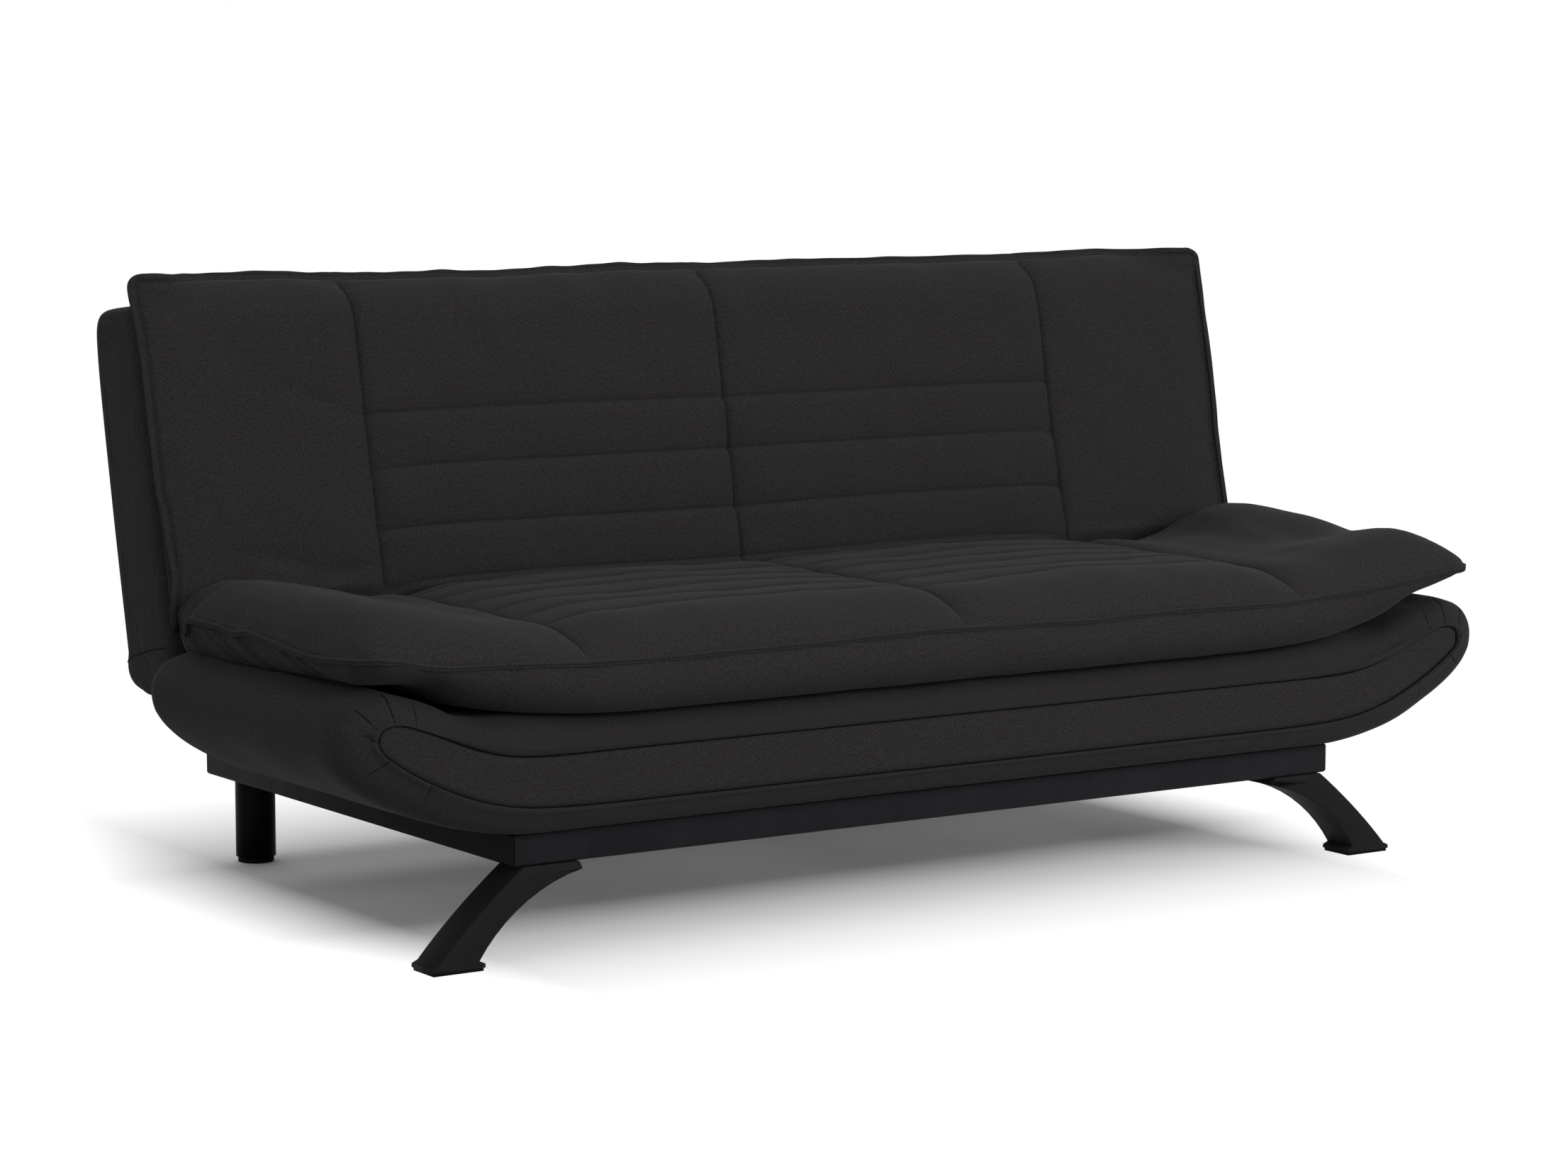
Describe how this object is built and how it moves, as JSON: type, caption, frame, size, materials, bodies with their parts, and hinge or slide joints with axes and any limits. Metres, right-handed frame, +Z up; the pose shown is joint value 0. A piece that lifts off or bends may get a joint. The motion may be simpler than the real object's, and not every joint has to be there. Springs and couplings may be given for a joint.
{
  "type": "click clack sofa bed",
  "caption": "Three-seat sofa bed with an upturned boat-shaped seat, a quilted seat cushion and a back that folds flat on click clack hinges over a steel base.",
  "frame": {"origin": "on the floor under the centre of the whole sofa", "axes": "+Z up, +X along the sofa towards a sitter's left, -Y to the front of the seat"},
  "size_m": [1.977, 0.976, 0.8991],
  "materials": {
    "upholstery_fabric": "charcoal twill weave, matt",
    "rail_paint": "matt dark grey powder coat",
    "leg_paint": "satin black powder coat",
    "gloss_black": "semi-gloss black",
    "black_plastic": "moulded",
    "pine": "planed",
    "plywood": "sawn",
    "zinc_steel": "zinc plated",
    "spring_steel": "blued",
    "dust_cloth": "non-woven"
  },
  "bodies": {
    "base": {"seat_fascia": "upholstery_fabric", "seat_front_panel": "upholstery_fabric", "seat_rear_panel": "upholstery_fabric", "arm_right": "upholstery_fabric", "arm_left": "upholstery_fabric", "seat_deck": "upholstery_fabric", "seat_pad": "upholstery_fabric", "front_rail": "rail_paint", "rear_rail": "rail_paint", "side_rail_right": "rail_paint", "side_rail_left": "rail_paint", "base_brace_right": "rail_paint", "base_brace_left": "rail_paint", "rear_leg_plate_right": "rail_paint", "rear_leg_plate_left": "rail_paint", "front_leg_right": "leg_paint", "front_leg_left": "leg_paint", "rear_leg_right": "gloss_black", "rear_leg_left": "gloss_black", "front_glide_right": "black_plastic", "front_glide_left": "black_plastic", "rear_glide_right": "black_plastic", "rear_glide_left": "black_plastic", "seat_front_board": "pine", "seat_rear_board": "pine", "seat_side_board_right": "pine", "seat_side_board_left": "pine", "arm_rib_front_right": "plywood", "arm_rib_front_left": "plywood", "arm_rib_rear_right": "plywood", "arm_rib_rear_left": "plywood", "hinge_plate_right": "zinc_steel", "hinge_plate_left": "zinc_steel", "hinge_pin_right": "zinc_steel", "hinge_pin_left": "zinc_steel", "hinge_bolt_front_right": "zinc_steel", "hinge_bolt_front_left": "zinc_steel", "hinge_bolt_rear_right": "zinc_steel", "hinge_bolt_rear_left": "zinc_steel", "seat_spring_1": "spring_steel", "seat_spring_2": "spring_steel", "seat_spring_3": "spring_steel", "seat_spring_4": "spring_steel", "click_spring_right": "spring_steel", "click_spring_left": "spring_steel", "dust_cloth": "dust_cloth"},
    "back": {"back_cover": "upholstery_fabric", "back_top_rail": "pine", "back_low_rail": "pine", "back_outer_stile_right": "pine", "back_outer_stile_left": "pine", "back_inner_stile_right": "pine", "back_inner_stile_left": "pine", "back_spring_1": "spring_steel", "back_spring_2": "spring_steel", "back_spring_3": "spring_steel", "back_pad": "upholstery_fabric", "hinge_arm_right": "zinc_steel", "hinge_arm_left": "zinc_steel"}
  },
  "joints": [
    {"name": "back_recline", "type": "hinge", "parent": "base", "child": "back", "pos_m": [0, 0.157, 0.3617], "axis": [-1, 0, 0], "range_deg": [0, 77.6], "deforming": ["click_spring_right", "click_spring_left"]}
  ]
}
